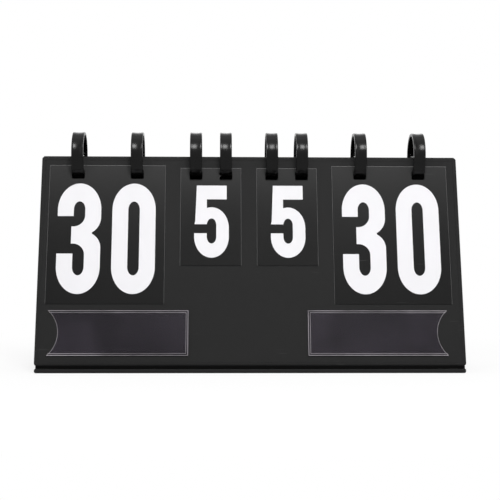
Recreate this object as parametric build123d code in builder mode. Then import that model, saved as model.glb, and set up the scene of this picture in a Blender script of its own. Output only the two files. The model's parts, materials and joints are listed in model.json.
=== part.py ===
"""Tabletop flip scoreboard: a folding easel of covered boards with four stacks of number cards on rings.

Millimetres. +X runs along the board to the viewer's right, -Y faces the viewer and +Z is up. The origin
lies on the table, straight below the axis that the rings turn about.
"""
from build123d import *
from math import asin, cos, degrees, radians, sin, sqrt
import os

# ---- driving dimensions: the boards -------------------------------------------------------------
LEAN = 15.5               # each leaf of the easel leans this far from upright, in degrees
BOARD_WIDTH = 390.0       # width of the leaves and the base
FRONT_LENGTH = 199.0      # front leaf, from top edge to foot, along the slope
FOOT_HEIGHT = 7.0         # outer edge of the front leaf's foot above the table
BOARD_CORE = 3.0          # greyboard sheet inside each leaf
SKIN = 0.5                # vinyl skin on each side of the greyboard
RIM = 2.0                 # vinyl beyond the edge of the greyboard
CORNER = 2.5              # corner radius of a leaf, seen face on
EDGE_ROUND = 1.5          # rounding along the edges of a leaf

# ---- driving dimensions: the folds --------------------------------------------------------------
SEAM_GAP = 1.0            # inner face of a leaf to the top hinge line
SEAM_DROP = 1.4           # top edge of a leaf below the top hinge line
SEAM_RISE = 1.3           # foot hinge lines above the top face of the base
SEAM_INSET = 0.6          # foot hinge lines in from the edges of the base
SWING_CLEARANCE = 0.7     # the back leaf swings over the base with this to spare
HINGE_SHEET = 0.6         # thickness of the vinyl that bridges a fold
HINGE_MARGIN = 1.5        # a hinge strip stops this far short of each end
SEAM_AIR = 0.1            # hinge strip to board

FLAP_LENGTH = 32.0        # closing flap, from the rear fold to its free edge
FLAP_START = 1.2          # lower edge of the closing flap above the rear fold
FLAP_SHEET = 1.2          # thickness of the closing flap
FLAP_WIDTH = 360.0        # closing flap, end to end
FLAP_CORNER = 9.0         # its rounded free corners
TAPE_WIDTH = 13.0         # hook tape and loop tape
TAPE_LENGTH = 60.0        # length of each piece of tape
TAPE_THICK = 0.9          # thickness of one tape
TAPE_GAP = 0.1            # hook tape to loop tape
TAPE_SPACING = 130.0      # from one pair of tapes to the next
TAPE_RISE = 3.0           # lower edge of the tapes above the foot of the back leaf

# ---- driving dimensions: the rings --------------------------------------------------------------
RING_RISE = 1.1           # ring axis above the top hinge line
RING_OUTER = 22.2         # outer radius of a ring
RING_THICK = 3.0          # thickness of its strap
RING_WIDTH = 11.0         # width of its strap
RING_DISH = 0.35          # depth of the shallow channel round the outside
RING_SHOULDER = 1.6       # flat shoulder each side of that channel
RING_EDGE = 0.6           # rounding of the strap's outer corners
GATE_PIVOT = 8.0          # gate pivot, in degrees up from the rearmost point of the ring
GATE_TIP = 80.0           # free end of the gate, same measure
GATE_LAP = 9.0            # length of the lap joint at the free end, in degrees
GATE_GAP = 0.15           # clearance round the gate's ends
KNUCKLE_WIDTH = 4.0       # knuckle of the gate between the two ears of the ring
AXLE_RADIUS = 0.6         # stub axles moulded on the knuckle
AXLE_LENGTH = 2.2         # length of each stub axle
AXLE_CLEARANCE = 0.05     # running clearance round and beyond the axles
SCORE_SPREAD = 131.9      # middle of a score stack from the middle of the row of stacks
SETS_SPREAD = 35.5        # middle of a sets stack from the middle of the row of stacks
STACK_SHIFT = 1.2         # the row of stacks sits this far left of the middle of the board
SCORE_RINGS = 55.0        # ring spacing of a score stack
SETS_RINGS = 28.0         # ring spacing of a sets stack

# ---- driving dimensions: the cards --------------------------------------------------------------
SCORE_CARD_WIDTH = 108.0      # a score card, across
SCORE_CARD_HEIGHT = 133.0     # a score card, from top edge to bottom edge
SETS_CARD_WIDTH = 56.6    # a sets card, across
SETS_CARD_HEIGHT = 94.4   # a sets card, from top edge to bottom edge
SCORE_RIM = 4.4           # score card between its top edge and its slots
SETS_RIM = 3.1            # sets card between its top edge and its slots
CARD_CORNER = 1.0         # corner radius of a card
CARD_THICK = 0.25         # one card
CARD_AIR = 0.03           # air between two stacked cards
LEAF_AIR = 0.3            # air between a leaf and the first card
PRINT_THICK = 0.1         # thickness of the numerals
PRINT_AIR = 0.1           # air over the numerals
SCORE_FLIPPED = 30        # score cards already over at the back, 00 to 29
SETS_FLIPPED = 5          # sets cards already over at the back, 0 to 4
SLOT_SIDE = 0.7           # slot of a card beside the strap, each side
SCORE_SLOT_OVER = 1.8     # slot of a score card above the strap, where the strap runs most slanted
SCORE_SLOT_UNDER = 2.9    # the same below the strap
SETS_SLOT_OVER = 1.2      # slot of a sets card above the strap, where the strap runs most slanted
SETS_SLOT_UNDER = 5.0     # the same below the strap
LEAF_SLOT_OVER = 1.0      # slot of a leaf above the strap
FRONT_SLOT_SIDE = 0.5     # slot of the front leaf beside the strap, each side
FRONT_SLOT_UNDER = 3.1    # slot of the front leaf below the strap
BACK_SLOT_SIDE = 0.2      # slot of the back leaf beside the strap, each side
BACK_SLOT_UNDER = 0.3     # slot of the back leaf below the strap
SLOT_CORNER = 1.4         # corner radius of every slot

# ---- driving dimensions: numerals and name pockets ----------------------------------------------
SCORE_DIGIT_WIDTH = 40.0  # a score numeral, across
SCORE_DIGIT_HEIGHT = 105.9    # a score numeral, from top to bottom
SCORE_STEM = 14.7         # upright stroke of a score numeral
SCORE_BAR = 17.5          # level stroke of a score numeral
SCORE_DIGIT_GAP = 10.4    # between the two numerals of a score
SCORE_ROUND = 25.5        # height of the rounded end of a score numeral
SCORE_DIGIT_DROP = 17.9   # top of a score numeral below the card's top edge
SETS_DIGIT_WIDTH = 32.0   # a sets numeral, across
SETS_DIGIT_HEIGHT = 69.8  # a sets numeral, from top to bottom
SETS_STEM = 11.6          # upright stroke of a sets numeral
SETS_BAR = 13.5           # level stroke of a sets numeral
SETS_ROUND = 20.0         # height of the rounded end of a sets numeral
SETS_DIGIT_DROP = 17.1    # top of a sets numeral below the card's top edge
SETS_DIGIT_SHIFT = 0.7    # a sets numeral is this far right of the middle of its card

POCKET_WIDTH = 128.0      # name pocket, along the board
POCKET_HEIGHT = 42.5      # name pocket, up the slope
POCKET_SPREAD = 53.9      # closed end of a pocket from the middle of the board
POCKET_FOOT = 8.6         # lower edge of a pocket above the foot of the front leaf
POCKET_SHIFT = 2.4        # the pair of pockets sits this far left of the middle of the board
POCKET_SHEET = 0.3        # clear sheet
POCKET_ROOM = 0.5         # room under the clear sheet for a name card
POCKET_WELD = 3.0         # width of the welded border on three sides
POCKET_SCOOP = 9.8        # depth of the thumb scoop at the open end

# ---- what follows from them ---------------------------------------------------------------------
LEAF = BOARD_CORE + 2 * SKIN
LEAF_OUTER = SEAM_GAP + LEAF
LEAN_SIN = sin(radians(LEAN))
LEAN_COS = cos(radians(LEAN))
FOOT_SLOPE = SEAM_DROP + FRONT_LENGTH
HINGE_Z = FOOT_HEIGHT + FOOT_SLOPE * LEAN_COS - LEAF_OUTER * LEAN_SIN
BASE_FRONT = LEAF_OUTER * LEAN_COS + FOOT_SLOPE * LEAN_SIN
SEAM_Z = LEAF + SEAM_RISE
FRONT_SEAM_Y = SEAM_INSET - BASE_FRONT
FLAP_OUT = LEAF_OUTER + 2 * TAPE_THICK + TAPE_GAP + FLAP_SHEET / 2
REAR_SEAM_Y = (FLAP_OUT + (HINGE_Z - SEAM_Z) * LEAN_SIN) / LEAN_COS
REAR_SEAM_SLOPE = REAR_SEAM_Y * LEAN_SIN + (HINGE_Z - SEAM_Z) * LEAN_COS
BASE_REAR = REAR_SEAM_Y + SEAM_INSET
BACK_LENGTH = sqrt((HINGE_Z - LEAF - SWING_CLEARANCE) ** 2 - LEAF_OUTER ** 2) - SEAM_DROP

RING_Z = HINGE_Z + RING_RISE
RING_INNER = RING_OUTER - RING_THICK
RING_MIDDLE = RING_OUTER - RING_THICK / 2
AXIS_UP = RING_RISE * LEAN_COS              # ring axis above the top hinge line, along a leaf
LEAF_FACE = LEAF_OUTER - RING_RISE * LEAN_SIN   # outer face of a leaf from the ring axis
FIRST_CARD = LEAF_FACE + LEAF_AIR           # inner face of the first card from the ring axis
PITCH = CARD_THICK + CARD_AIR
OVERPRINT = PRINT_THICK + PRINT_AIR
KNUCKLE_RADIUS = (RING_THICK - RING_DISH) / 2
PIVOT_RADIUS = RING_INNER + KNUCKLE_RADIUS

# Leaf planes: local x across the board, local y up the slope from the top hinge, local z outward.
front_leaf = Plane((0, 0, HINGE_Z), x_dir=(1, 0, 0), z_dir=(0, -LEAN_COS, LEAN_SIN))
back_leaf = Plane((0, 0, HINGE_Z), x_dir=(-1, 0, 0), z_dir=(0, LEAN_COS, LEAN_SIN))
# Card planes start at the ring axis, and local z points out of the printed face.
front_cards = Plane((0, 0, RING_Z), x_dir=(1, 0, 0), z_dir=(0, -LEAN_COS, LEAN_SIN))
back_cards = Plane((0, 0, RING_Z), x_dir=(1, 0, 0), z_dir=(0, -LEAN_COS, -LEAN_SIN))

os.makedirs("parts", exist_ok=True)


def keep(piece, name):
    """Label a finished piece and write it as its own node."""
    piece.label = name
    export_step(piece, f"parts/{name}.step")


def strap_middle(out):
    """How far down the slope the middle of the strap is, this far out from the ring axis."""
    return sqrt(RING_MIDDLE ** 2 - out ** 2)


def strap_top(out):
    """How far down the slope the inner side of the strap is, this far out from the ring axis."""
    return sqrt(RING_INNER ** 2 - out ** 2)


def strap_bottom(out):
    """How far down the slope the outer side of the strap is, this far out from the ring axis."""
    return sqrt(RING_OUTER ** 2 - out ** 2)


# ---- numerals -----------------------------------------------------------------------------------
class Type:
    """Sizes of one set of numerals: width, height, upright stroke, level stroke and rounded end."""

    def __init__(self, width, height, stem, bar, round_end, shift):
        self.width = width
        self.height = height
        self.stem = stem
        self.bar = bar
        self.round_end = round_end
        self.shift = shift

    def outline(self, height):
        """The round-ended outline that the numerals are cut from, standing on the base line."""
        end = self.round_end
        with Locations((self.width / 2, height / 2)):
            Rectangle(self.width, height - 2 * end)
        with Locations((self.width / 2, end), (self.width / 2, height - end)):
            Ellipse(self.width / 2, end)

    def counter(self, low, high):
        """A tall opening between the two upright strokes."""
        end = self.round_end - self.bar
        half = self.width / 2 - self.stem
        with Locations((self.width / 2, (low + high) / 2)):
            Rectangle(2 * half, high - low - 2 * end, mode=Mode.SUBTRACT)
        with Locations((self.width / 2, low + end), (self.width / 2, high - end)):
            Ellipse(half, end, mode=Mode.SUBTRACT)

    def gap(self, low, high):
        """The opening through the left stroke, from the outside to the counter."""
        with Locations((0, (low + high) / 2)):
            Rectangle(2 * self.stem, high - low, mode=Mode.SUBTRACT)

    def zero(self):
        """Draw 0, a round-ended loop."""
        self.outline(self.height)
        self.counter(self.bar, self.height - self.bar)

    def two(self):
        """Draw 2, a bowl that runs down to a flat foot."""
        w, h, t, b = self.width, self.height, self.stem, self.bar
        self.outline(h)
        self.counter(b, h - b)
        self.gap(0.45 * h, 0.68 * h)
        with Locations((w / 2, 0.28 * h)):
            Rectangle(w, 0.56 * h, mode=Mode.SUBTRACT)
        with BuildLine() as rim:
            Polyline((0, 0), (w, 0), (w, b), (t, b), (w, 0.56 * h), (w - t, 0.56 * h), (0, b), close=True)
        make_face(rim.edges())

    def three(self):
        """Draw 3, two bowls that meet at a waist with a short middle arm."""
        w, h, t, b = self.width, self.height, self.stem, self.bar
        waist, arm, bend = 0.528 * h, 0.155 * h, w - 2 * t
        self.outline(h)
        self.counter(b, waist)
        self.counter(waist, h - b)
        self.gap(0.36 * h, 0.70 * h)
        with BuildLine() as rim:
            Polyline((w, 0.42 * h), (1.1 * w, 0.42 * h), (1.1 * w, 0.68 * h), (w, 0.68 * h))
            ThreePointArc((w, 0.68 * h), (0.94 * w, 0.605 * h), (0.76 * w, 0.545 * h))
            ThreePointArc((0.76 * w, 0.545 * h), (0.94 * w, 0.49 * h), (w, 0.42 * h))
        make_face(rim.edges(), mode=Mode.SUBTRACT)
        with BuildLine() as rim:
            Polyline((w - t, waist - arm / 2 - bend), (w - t / 2, waist), (w - t, waist + arm / 2 + bend))
            RadiusArc((w - t, waist + arm / 2 + bend), (w - t - bend, waist + arm / 2), bend)
            Polyline((w - t - bend, waist + arm / 2), (t * 0.88, waist + arm / 2),
                     (t * 0.88, waist - arm / 2), (w - t - bend, waist - arm / 2))
            RadiusArc((w - t - bend, waist - arm / 2), (w - t, waist - arm / 2 - bend), bend)
        make_face(rim.edges())

    def four(self):
        """Draw 4, a slanted stroke, a cross bar and a post."""
        w, h, t, b = self.width, self.height, self.stem, self.bar
        post = 0.88 * w
        with BuildLine() as rim:
            Polyline((post - t, h), (post, h), (post, 0.2 * h + b), (w, 0.2 * h + b), (w, 0.2 * h),
                     (post, 0.2 * h), (post, 0), (post - t, 0), (post - t, 0.2 * h), (0, 0.2 * h),
                     (0, 0.2 * h + b), close=True)
        make_face(rim.edges())
        with BuildLine() as rim:
            Polyline((post - t, 0.2 * h + b), (post - t, 0.72 * h), (0.62 * t, 0.2 * h + b), close=True)
        make_face(rim.edges(), mode=Mode.SUBTRACT)

    def five(self):
        """Draw 5, a bar and a stem over a round bowl."""
        w, h, t, b = self.width, self.height, self.stem, self.bar
        self.outline(0.695 * h)
        self.counter(b, 0.54 * h)
        self.gap(0.335 * h, 0.46 * h)
        with BuildLine() as rim:
            Polyline((0.07 * w, h), (0.94 * w, h), (0.94 * w, h - b), (t, h - b), (t, 0.46 * h),
                     (0.024 * w, 0.46 * h), close=True)
        make_face(rim.edges())

    def nine(self):
        """Draw 9, a closed bowl over a tail."""
        self.outline(self.height)
        self.counter(self.bar, 0.40 * self.height)
        self.counter(0.52 * self.height, self.height - self.bar)
        self.gap(0.29 * self.height, 0.38 * self.height)

    def draw(self, numeral):
        """Draw one numeral in the sketch that is being built."""
        shapes = {"0": self.zero, "2": self.two, "3": self.three, "4": self.four, "5": self.five,
                  "9": self.nine}
        shapes[numeral]()


score_type = Type(SCORE_DIGIT_WIDTH, SCORE_DIGIT_HEIGHT, SCORE_STEM, SCORE_BAR, SCORE_ROUND, 0)
sets_type = Type(SETS_DIGIT_WIDTH, SETS_DIGIT_HEIGHT, SETS_STEM, SETS_BAR, SETS_ROUND, SETS_DIGIT_SHIFT)


class Stack:
    """One stack of cards on its two rings, with everything that its cards share."""

    def __init__(self, name, middle, rings, size, rim, over, under, flipped, font, drop, numbers):
        self.name = name
        self.middle = middle
        self.rings = rings
        self.width, self.height = size
        self.rim = rim
        self.flipped = flipped
        self.font = font
        self.drop = drop
        self.numbers = numbers
        self.rear = FIRST_CARD + (flipped - 2) * PITCH + CARD_THICK + OVERPRINT
        slanted = self.rear + CARD_THICK + OVERPRINT + CARD_THICK / 2
        self.above = strap_middle(slanted) - strap_top(slanted) + over
        self.below = strap_bottom(slanted) - strap_middle(slanted) + under

    def draw_card(self, out):
        """Draw a card with its two slots, its ring points this far out from the ring axis."""
        point = -strap_middle(out)
        top = point + self.above + self.rim
        with Locations((self.middle, top - self.height / 2)):
            RectangleRounded(self.width, self.height, CARD_CORNER)
        with Locations((self.middle, point + (self.above - self.below) / 2)):
            with GridLocations(self.rings, 0, 2, 1):
                RectangleRounded(RING_WIDTH + 2 * SLOT_SIDE, self.above + self.below, SLOT_CORNER,
                                 mode=Mode.SUBTRACT)

    def draw_number(self, out, number):
        """Draw the numerals of a card whose ring points are this far out from the ring axis."""
        font = self.font
        foot = -strap_middle(out) + self.above + self.rim - self.drop - font.height
        step = font.width + SCORE_DIGIT_GAP
        left = self.middle + font.shift - (len(number) - 1) * step / 2 - font.width / 2
        for place, numeral in enumerate(number):
            with BuildSketch(mode=Mode.PRIVATE) as face:
                font.draw(numeral)
            with Locations((left + place * step, foot)):
                add(face.sketch)


score_size = (SCORE_CARD_WIDTH, SCORE_CARD_HEIGHT)
sets_size = (SETS_CARD_WIDTH, SETS_CARD_HEIGHT)
score_fit = (SCORE_RINGS, score_size, SCORE_RIM, SCORE_SLOT_OVER, SCORE_SLOT_UNDER, SCORE_FLIPPED,
             score_type, SCORE_DIGIT_DROP, ("30", "29", "00"))
sets_fit = (SETS_RINGS, sets_size, SETS_RIM, SETS_SLOT_OVER, SETS_SLOT_UNDER, SETS_FLIPPED,
            sets_type, SETS_DIGIT_DROP, ("5", "4", "0"))
stacks = [
    Stack("left_score", -STACK_SHIFT - SCORE_SPREAD, *score_fit),
    Stack("left_sets", -STACK_SHIFT - SETS_SPREAD, *sets_fit),
    Stack("right_sets", SETS_SPREAD - STACK_SHIFT, *sets_fit),
    Stack("right_score", SCORE_SPREAD - STACK_SHIFT, *score_fit),
]
ring_places = [stack.middle + side * stack.rings / 2 for stack in stacks for side in (-1, 1)]

# ---- boards -------------------------------------------------------------------------------------
slot_top = AXIS_UP - strap_top(LEAF_FACE) + LEAF_SLOT_OVER


def draw_leaf_slots(hand, beside, under, mode):
    """Draw the slots where the rings pass a leaf: hand is 1 where local x runs along +X, else -1."""
    slot_bottom = AXIS_UP - RING_OUTER - under
    with Locations(*[(hand * x, (slot_top + slot_bottom) / 2) for x in ring_places]):
        RectangleRounded(RING_WIDTH + 2 * beside, slot_top - slot_bottom, SLOT_CORNER, mode=mode)


for leaf_name, leaf_plane, leaf_length, *slot in (
    ("front", front_leaf, FRONT_LENGTH, 1, FRONT_SLOT_SIDE, FRONT_SLOT_UNDER),
    ("back", back_leaf, BACK_LENGTH, -1, BACK_SLOT_SIDE, BACK_SLOT_UNDER),
):
    leaf_middle = (0, -SEAM_DROP - leaf_length / 2)
    with BuildPart() as cover:
        with BuildSketch(leaf_plane.offset(SEAM_GAP)):
            with Locations(leaf_middle):
                RectangleRounded(BOARD_WIDTH, leaf_length, CORNER)
        extrude(amount=LEAF)
        across = Axis(leaf_plane.origin, leaf_plane.z_dir)
        outline = cover.faces().sort_by(across)[0].edges() + cover.faces().sort_by(across)[-1].edges()
        fillet(outline, EDGE_ROUND)
        with BuildSketch(leaf_plane.offset(SEAM_GAP + SKIN)):
            with Locations(leaf_middle):
                Rectangle(BOARD_WIDTH - 2 * RIM, leaf_length - 2 * RIM)
        extrude(amount=BOARD_CORE, mode=Mode.SUBTRACT)
        with BuildSketch(leaf_plane):
            draw_leaf_slots(*slot, Mode.ADD)
        extrude(amount=2 * LEAF_OUTER, mode=Mode.SUBTRACT)
    keep(cover.part, f"{leaf_name}_cover")
    with BuildPart() as board:
        with BuildSketch(leaf_plane.offset(SEAM_GAP + SKIN)):
            with Locations(leaf_middle):
                Rectangle(BOARD_WIDTH - 2 * RIM, leaf_length - 2 * RIM)
            draw_leaf_slots(*slot, Mode.SUBTRACT)
        extrude(amount=BOARD_CORE)
    keep(board.part, f"{leaf_name}_board")

base_depth = BASE_FRONT + BASE_REAR
base_middle = (0, (BASE_REAR - BASE_FRONT) / 2)
with BuildPart() as base_cover:
    with BuildSketch():
        with Locations(base_middle):
            RectangleRounded(BOARD_WIDTH, base_depth, CORNER)
    extrude(amount=LEAF)
    fillet(base_cover.faces().filter_by(Axis.Z).edges(), EDGE_ROUND)
    with BuildSketch(Plane.XY.offset(SKIN)):
        with Locations(base_middle):
            Rectangle(BOARD_WIDTH - 2 * RIM, base_depth - 2 * RIM)
    extrude(amount=BOARD_CORE, mode=Mode.SUBTRACT)
keep(base_cover.part, "base_cover")

with BuildPart() as base_board:
    with BuildSketch(Plane.XY.offset(SKIN)):
        with Locations(base_middle):
            Rectangle(BOARD_WIDTH - 2 * RIM, base_depth - 2 * RIM)
    extrude(amount=BOARD_CORE)
keep(base_board.part, "base_board")

# ---- hinge strips, closing flap and tapes -------------------------------------------------------
hinge_length = BOARD_WIDTH - 2 * HINGE_MARGIN
side = Plane.YZ.offset(-hinge_length / 2)


def on_leaf(sign, out, slope):
    """Place in the side view of a point of a leaf: sign is -1 for the front leaf, 1 for the back."""
    return sign * (out * LEAN_COS + slope * LEAN_SIN), HINGE_Z + out * LEAN_SIN - slope * LEAN_COS


with BuildPart() as top_hinge:
    with BuildSketch(side):
        with BuildLine():
            landing = SEAM_DROP - SEAM_AIR
            inner, outer = SEAM_GAP + SKIN, SEAM_GAP + SKIN + 2 * HINGE_SHEET
            Polyline(on_leaf(-1, inner, landing), (0, HINGE_Z - HINGE_SHEET / 2), on_leaf(1, inner, landing),
                     on_leaf(1, outer, landing), (0, HINGE_Z + HINGE_SHEET / 2), on_leaf(-1, outer, landing),
                     close=True)
        make_face()
    extrude(amount=hinge_length)
keep(top_hinge.part, "top_hinge")

front_foot_z = FOOT_HEIGHT - (FRONT_SEAM_Y + HINGE_SHEET / 2 + BASE_FRONT) * LEAN_SIN / LEAN_COS
with BuildPart() as front_hinge:
    with BuildSketch(side):
        with Locations((FRONT_SEAM_Y, (LEAF + front_foot_z) / 2)):
            Rectangle(HINGE_SHEET, front_foot_z - LEAF - 2 * SEAM_AIR)
    extrude(amount=hinge_length)
keep(front_hinge.part, "front_hinge")

flap_foot_z = SEAM_Z + FLAP_START * LEAN_COS - FLAP_SHEET / 2 * LEAN_SIN
with BuildPart() as rear_hinge:
    with BuildSketch(side.offset((hinge_length - FLAP_WIDTH) / 2)):
        with Locations((REAR_SEAM_Y, (LEAF + flap_foot_z) / 2)):
            Rectangle(HINGE_SHEET, flap_foot_z - LEAF - 2 * SEAM_AIR)
    extrude(amount=FLAP_WIDTH)
keep(rear_hinge.part, "rear_hinge")

with BuildPart() as flap:
    with BuildSketch(back_leaf.offset(FLAP_OUT - FLAP_SHEET / 2)):
        with Locations((0, -REAR_SEAM_SLOPE + (FLAP_LENGTH + FLAP_START) / 2)):
            free = Rectangle(FLAP_WIDTH, FLAP_LENGTH - FLAP_START)
        fillet(free.vertices().group_by(Axis.Y)[-1], FLAP_CORNER)
    extrude(amount=FLAP_SHEET)
keep(flap.part, "flap")

tape_middle = -SEAM_DROP - BACK_LENGTH + TAPE_RISE + TAPE_WIDTH / 2
for tape_name, tape_x in (("left", TAPE_SPACING), ("middle", 0), ("right", -TAPE_SPACING)):
    with BuildPart() as loop_tape:
        with BuildSketch(back_leaf.offset(LEAF_OUTER)):
            with Locations((tape_x, tape_middle)):
                Rectangle(TAPE_LENGTH, TAPE_WIDTH)
        extrude(amount=TAPE_THICK)
    keep(loop_tape.part, f"loop_tape_{tape_name}")
    with BuildPart() as hook_tape:
        with BuildSketch(back_leaf.offset(LEAF_OUTER + TAPE_THICK + TAPE_GAP)):
            with Locations((tape_x, tape_middle)):
                Rectangle(TAPE_LENGTH, TAPE_WIDTH)
        extrude(amount=TAPE_THICK)
    keep(hook_tape.part, f"hook_tape_{tape_name}")

# ---- name pockets -------------------------------------------------------------------------------
pocket_middle_y = -FOOT_SLOPE + POCKET_FOOT + POCKET_HEIGHT / 2
scoop_radius = ((POCKET_HEIGHT / 2) ** 2 + POCKET_SCOOP ** 2) / (2 * POCKET_SCOOP)
for pocket_name, hand in (("left", -1), ("right", 1)):
    pocket_x = hand * (POCKET_SPREAD + POCKET_WIDTH / 2) - POCKET_SHIFT
    scoop_x = hand * (POCKET_SPREAD + POCKET_WIDTH - POCKET_SCOOP + scoop_radius) - POCKET_SHIFT
    with BuildPart() as pocket:
        with BuildSketch(front_leaf.offset(LEAF_OUTER)):
            with Locations((pocket_x, pocket_middle_y)):
                Rectangle(POCKET_WIDTH, POCKET_HEIGHT)
            with Locations((scoop_x, pocket_middle_y)):
                Circle(scoop_radius, mode=Mode.SUBTRACT)
        extrude(amount=POCKET_ROOM + POCKET_SHEET)
        with BuildSketch(front_leaf.offset(LEAF_OUTER)):
            with Locations((pocket_x + hand * POCKET_WELD, pocket_middle_y)):
                Rectangle(POCKET_WIDTH, POCKET_HEIGHT - 2 * POCKET_WELD)
        extrude(amount=POCKET_ROOM, mode=Mode.SUBTRACT)
    keep(pocket.part, f"pocket_{pocket_name}")

# ---- rings: an open arch and a gate that closes it ----------------------------------------------


def around(angle, x):
    """Plane across the strap at an angle up from the rear: local x along the axis, local y outward."""
    return Plane((x, 0, RING_Z), x_dir=(1, 0, 0), z_dir=(0, -sin(radians(angle)), cos(radians(angle))))


def draw_strap():
    """Draw the strap's section, with its shallow outer channel."""
    half = RING_WIDTH / 2
    with BuildLine() as rim:
        Polyline((half - RING_SHOULDER, RING_OUTER), (half, RING_OUTER), (half, RING_INNER),
                 (-half, RING_INNER), (-half, RING_OUTER), (RING_SHOULDER - half, RING_OUTER))
        ThreePointArc((RING_SHOULDER - half, RING_OUTER), (0, RING_OUTER - RING_DISH),
                      (half - RING_SHOULDER, RING_OUTER))
    strap = make_face(rim.edges())
    fillet([v for v in strap.vertices() if abs(v.X) > half - RING_EDGE], RING_EDGE)


gap_angle = degrees(GATE_GAP / RING_MIDDLE)
step_angle = GATE_TIP - GATE_LAP
body_angle = GATE_PIVOT + degrees(asin((KNUCKLE_RADIUS + GATE_GAP) / PIVOT_RADIUS))
knuckle_half = KNUCKLE_WIDTH / 2
ear_inner = knuckle_half + GATE_GAP
ear_width = RING_WIDTH / 2 - ear_inner
lap_radius = RING_INNER + (RING_THICK - RING_DISH) / 2

for stack in stacks:
    for hand_name, hand in (("left", -1), ("right", 1)):
        ring_x = stack.middle + hand * stack.rings / 2
        ring_axis = Axis((ring_x, 0, RING_Z), (1, 0, 0))
        pivot = Plane(around(GATE_PIVOT, ring_x).from_local_coords((0, PIVOT_RADIUS, 0)),
                      x_dir=(0, cos(radians(GATE_PIVOT)), sin(radians(GATE_PIVOT))), z_dir=(1, 0, 0))
        with BuildPart() as arch:
            with BuildSketch(around(GATE_TIP + gap_angle, ring_x)):
                draw_strap()
            revolve(axis=ring_axis, revolution_arc=360 + GATE_PIVOT - GATE_TIP - gap_angle)
            with BuildSketch(around(step_angle, ring_x)):
                with Locations((0, (RING_INNER + lap_radius - GATE_GAP / 2) / 2)):
                    Rectangle(RING_WIDTH, lap_radius - GATE_GAP / 2 - RING_INNER)
            revolve(axis=ring_axis, revolution_arc=GATE_LAP + 2 * gap_angle)
            with BuildSketch(pivot.offset(-RING_WIDTH / 2)):
                Circle(KNUCKLE_RADIUS)
            extrude(amount=RING_WIDTH)
            with BuildSketch(pivot.offset(-ear_inner)):
                Rectangle(2 * RING_THICK, 2 * (KNUCKLE_RADIUS + GATE_GAP))
            extrude(amount=2 * ear_inner, mode=Mode.SUBTRACT)
            with BuildSketch(pivot.offset(-knuckle_half - AXLE_LENGTH - AXLE_CLEARANCE)):
                Circle(AXLE_RADIUS + AXLE_CLEARANCE)
            extrude(amount=2 * (knuckle_half + AXLE_LENGTH + AXLE_CLEARANCE), mode=Mode.SUBTRACT)
        keep(arch.part, f"{stack.name}_arch_{hand_name}")

        with BuildPart() as gate:
            with BuildSketch(around(body_angle, ring_x)):
                draw_strap()
            revolve(axis=ring_axis, revolution_arc=GATE_TIP - body_angle)
            with BuildSketch(around(step_angle - gap_angle, ring_x)):
                with Locations((0, (RING_INNER + lap_radius + GATE_GAP / 2) / 2 - RING_THICK / 2)):
                    Rectangle(2 * RING_WIDTH, lap_radius + GATE_GAP / 2 - RING_INNER + RING_THICK)
            revolve(axis=ring_axis, revolution_arc=GATE_LAP + 4 * gap_angle, mode=Mode.SUBTRACT)
            with BuildSketch(around(GATE_PIVOT, ring_x)):
                with Locations((0, PIVOT_RADIUS)):
                    Rectangle(KNUCKLE_WIDTH, 2 * KNUCKLE_RADIUS)
            revolve(axis=ring_axis, revolution_arc=body_angle - GATE_PIVOT + gap_angle)
            with BuildSketch(pivot.offset(-knuckle_half)):
                Circle(KNUCKLE_RADIUS)
            extrude(amount=KNUCKLE_WIDTH)
            with BuildSketch(pivot.offset(-knuckle_half - AXLE_LENGTH)):
                Circle(AXLE_RADIUS)
            extrude(amount=KNUCKLE_WIDTH + 2 * AXLE_LENGTH)
        keep(gate.part, f"{stack.name}_gate_{hand_name}")

# ---- cards and numerals -------------------------------------------------------------------------
for stack in stacks:
    shown, last, first = stack.numbers
    front_out = FIRST_CARD + CARD_THICK / 2
    with BuildPart() as front_card:
        with BuildSketch(front_cards.offset(FIRST_CARD)):
            stack.draw_card(front_out)
        extrude(amount=CARD_THICK)
    keep(front_card.part, f"{stack.name}_front_card")
    with BuildPart() as front_number:
        with BuildSketch(front_cards.offset(FIRST_CARD + CARD_THICK)):
            stack.draw_number(front_out, shown)
        extrude(amount=PRINT_THICK)
    keep(front_number.part, f"{stack.name}_front_number")

    rear_out = stack.rear + CARD_THICK / 2
    with BuildPart() as rear_card:
        with BuildSketch(back_cards.offset(-stack.rear)):
            stack.draw_card(rear_out)
        extrude(amount=-CARD_THICK)
    keep(rear_card.part, f"{stack.name}_rear_card")
    with BuildPart() as rear_number:
        with BuildSketch(back_cards.offset(-stack.rear)):
            stack.draw_number(rear_out, last)
        extrude(amount=PRINT_THICK)
    keep(rear_number.part, f"{stack.name}_rear_number")

    with BuildPart() as pack:
        for place in range(stack.flipped - 1):
            inner_face = FIRST_CARD + place * PITCH
            with BuildSketch(back_cards.offset(-inner_face)):
                stack.draw_card(inner_face + CARD_THICK / 2)
            extrude(amount=-CARD_THICK)
    keep(pack.part, f"{stack.name}_pack")
    with BuildPart() as pack_number:
        with BuildSketch(back_cards.offset(-FIRST_CARD)):
            stack.draw_number(front_out, first)
        extrude(amount=PRINT_THICK)
    keep(pack_number.part, f"{stack.name}_pack_number")
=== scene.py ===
"""Dresses the tabletop flip scoreboard for a studio picture.

Metres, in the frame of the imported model: +X to the viewer's right, -Y toward the viewer, +Z up.
"""

import json
import logging
import math
from dataclasses import dataclass
from enum import Enum
from typing import Iterable

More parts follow.
